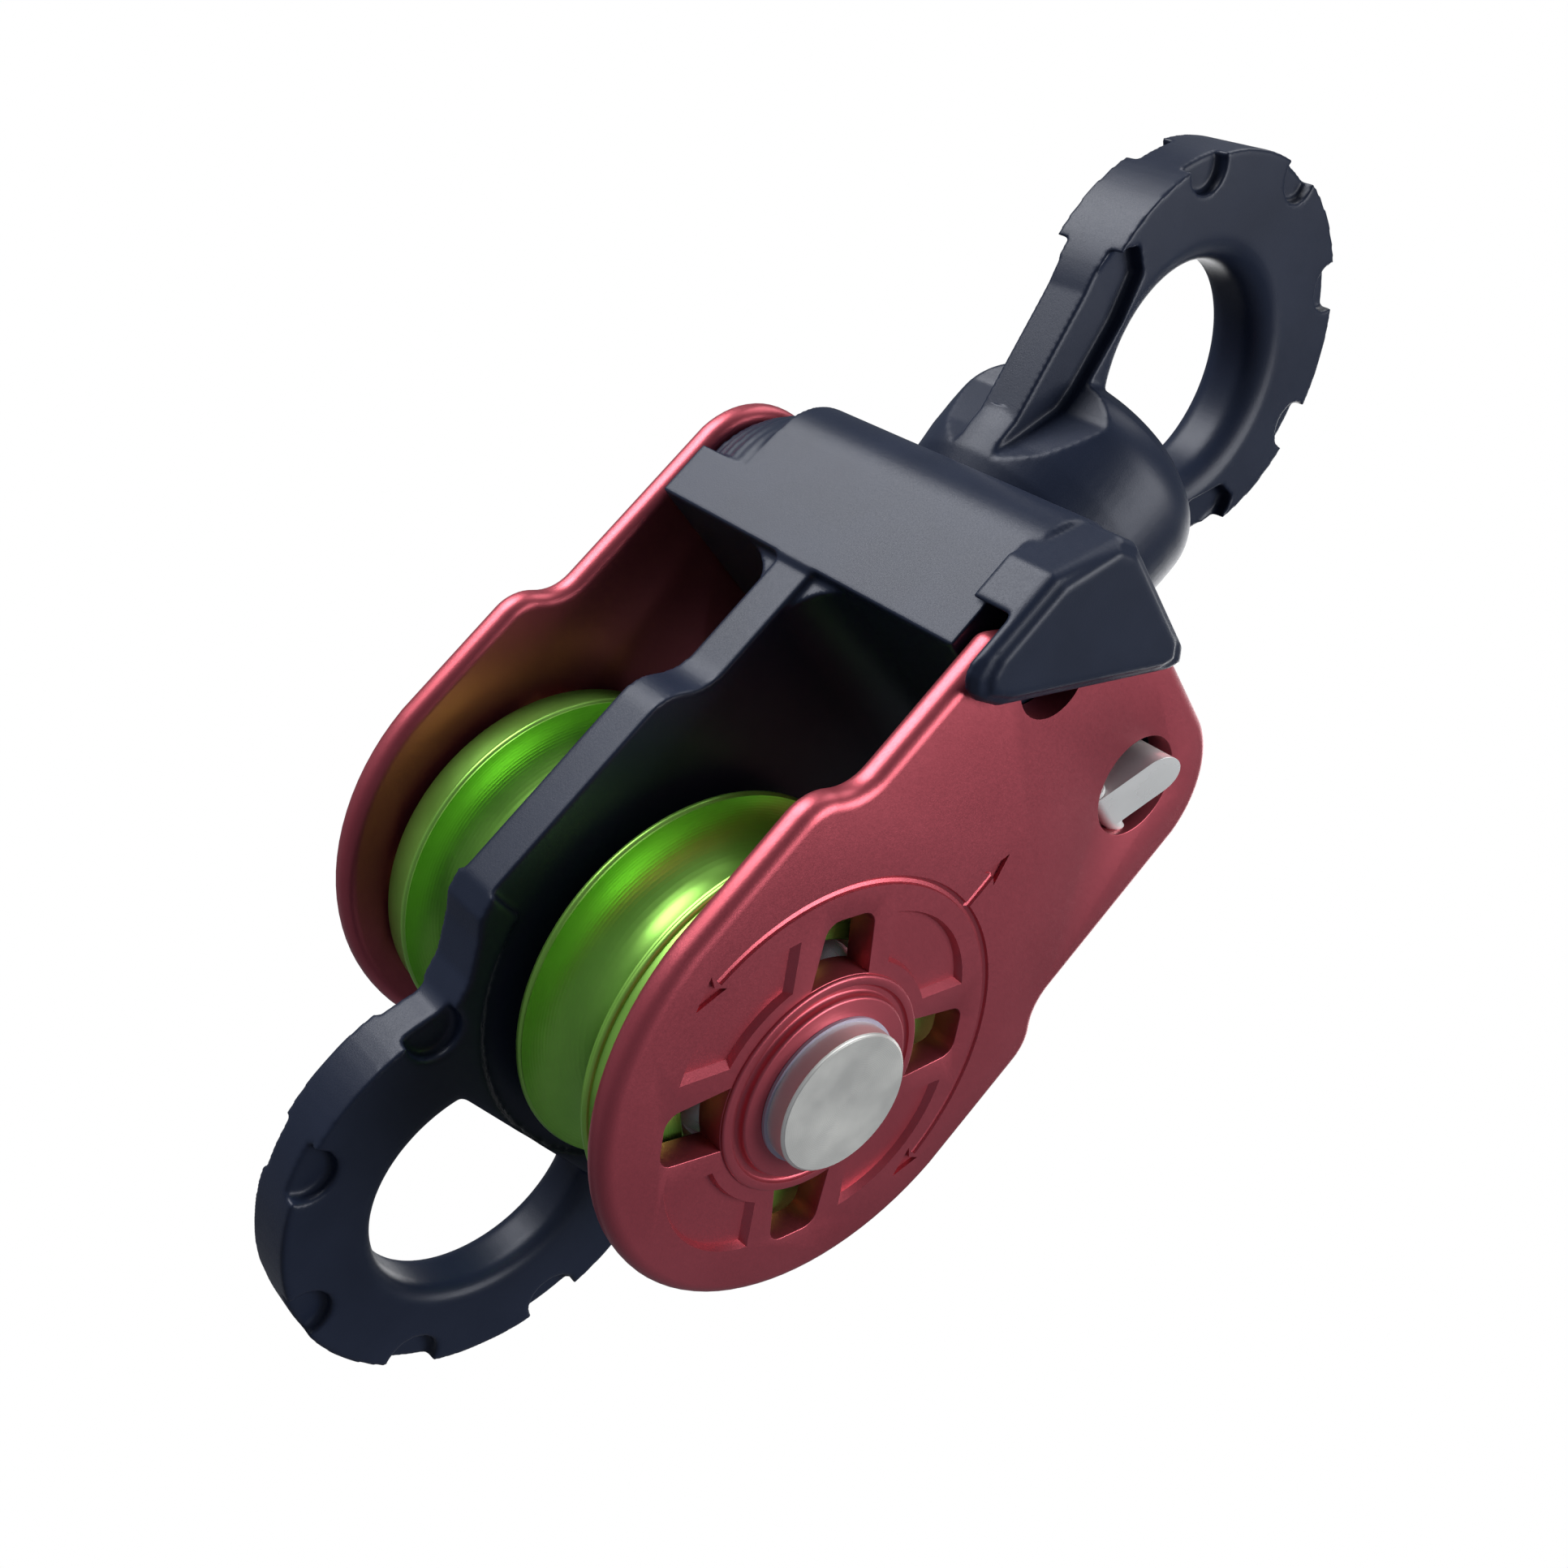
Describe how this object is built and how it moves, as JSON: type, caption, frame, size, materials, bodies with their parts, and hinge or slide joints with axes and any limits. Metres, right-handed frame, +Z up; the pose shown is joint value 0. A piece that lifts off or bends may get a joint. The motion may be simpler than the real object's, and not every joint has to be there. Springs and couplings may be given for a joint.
{
  "type": "rope pulley",
  "caption": "Swivel rope pulley with side-by-side sheaves, swing-open side plates with press latches, and a becket below.",
  "frame": {"origin": "middle of the sheave axle", "axes": "+X along the axle to the right side plate, +Z up the swivel axis to the eye"},
  "size_m": [0.0724, 0.066, 0.1989],
  "materials": {
    "black_anodised": "bead-blasted black anodised",
    "red_anodised": "satin red anodised",
    "green_anodised": "satin green anodised",
    "turned_steel": "turned",
    "polished_steel": "polished",
    "bearing_steel": "ground",
    "lavender_washer": "satin anodised",
    "bushing_bronze": "sintered",
    "nylon": "matte",
    "seal_rubber": "matte"
  },
  "bodies": {
    "frame": {"center_frame": "black_anodised", "axle_bolt": "turned_steel", "axle_cap": "turned_steel", "swivel_post": "turned_steel", "post_lock_pin": "turned_steel", "swivel_seal": "seal_rubber", "bearing_inner_right": "bearing_steel", "bearing_inner_left": "bearing_steel", "spacer_inner_right": "bearing_steel", "spacer_inner_left": "bearing_steel", "spacer_outer_right": "bearing_steel", "spacer_outer_left": "bearing_steel", "axle_washer_right": "lavender_washer", "axle_washer_left": "lavender_washer"},
    "eye": {"swivel_eye": "black_anodised", "swivel_sleeve": "nylon", "port_plug": "black_anodised"},
    "eye_balls": {"swivel_balls": "bearing_steel"},
    "sheave_right": {"sheave_right": "green_anodised", "bearing_outer_right": "bearing_steel", "bearing_shields_right": "bearing_steel", "snap_ring_right": "bearing_steel"},
    "sheave_left": {"sheave_left": "green_anodised", "bearing_outer_left": "bearing_steel", "bearing_shields_left": "bearing_steel", "snap_ring_left": "bearing_steel"},
    "cage_right": {"bearing_balls_right": "bearing_steel"},
    "cage_left": {"bearing_balls_left": "bearing_steel"},
    "plate_right": {"side_plate_right": "red_anodised", "plate_bushing_right": "bushing_bronze", "latch_pin_right": "polished_steel", "latch_spring_right": "polished_steel"},
    "plate_left": {"side_plate_left": "red_anodised", "plate_bushing_left": "bushing_bronze", "latch_pin_left": "polished_steel", "latch_spring_left": "polished_steel"},
    "lever_right": {"latch_right": "polished_steel"},
    "lever_left": {"latch_left": "polished_steel"}
  },
  "joints": [
    {"name": "eye_swivel", "type": "hinge", "parent": "frame", "child": "eye", "pos_m": [0, 0, 0.08], "axis": [0, 0, 1], "continuous": true},
    {"name": "eye_balls_roll", "type": "hinge", "parent": "frame", "child": "eye_balls", "pos_m": [0, 0, 0.08], "axis": [0, 0, 1], "continuous": true},
    {"name": "sheave_spin_right", "type": "hinge", "parent": "frame", "child": "sheave_right", "pos_m": [0.01425, 0, 0], "axis": [1, 0, 0], "continuous": true},
    {"name": "sheave_spin_left", "type": "hinge", "parent": "frame", "child": "sheave_left", "pos_m": [-0.01425, 0, 0], "axis": [1, 0, 0], "continuous": true},
    {"name": "cage_spin_right", "type": "hinge", "parent": "frame", "child": "cage_right", "pos_m": [0.01425, 0, 0], "axis": [1, 0, 0], "continuous": true},
    {"name": "cage_spin_left", "type": "hinge", "parent": "frame", "child": "cage_left", "pos_m": [-0.01425, 0, 0], "axis": [1, 0, 0], "continuous": true},
    {"name": "plate_swing_right", "type": "hinge", "parent": "frame", "child": "plate_right", "pos_m": [0.0298, 0, 0], "axis": [-1, 0, 0], "range_deg": [0, 110]},
    {"name": "plate_swing_left", "type": "hinge", "parent": "frame", "child": "plate_left", "pos_m": [-0.0298, 0, 0], "axis": [1, 0, 0], "range_deg": [0, 110]},
    {"name": "latch_press_right", "type": "hinge", "parent": "plate_right", "child": "lever_right", "pos_m": [0.0298, 0.0123, 0.0499], "axis": [0, -1, 0], "range_deg": [0, 18], "stiffness_Nm_per_rad": 0.02, "springref_deg": -28.65},
    {"name": "latch_press_left", "type": "hinge", "parent": "plate_left", "child": "lever_left", "pos_m": [-0.0298, -0.0123, 0.0499], "axis": [0, 1, 0], "range_deg": [0, 18], "stiffness_Nm_per_rad": 0.02, "springref_deg": -28.65}
  ],
  "couplings": [
    {"joint": "eye_balls_roll", "follows": "eye_swivel", "ratio": 0.5},
    {"joint": "cage_spin_right", "follows": "sheave_spin_right", "ratio": 0.6295},
    {"joint": "cage_spin_left", "follows": "sheave_spin_left", "ratio": 0.6295}
  ]
}
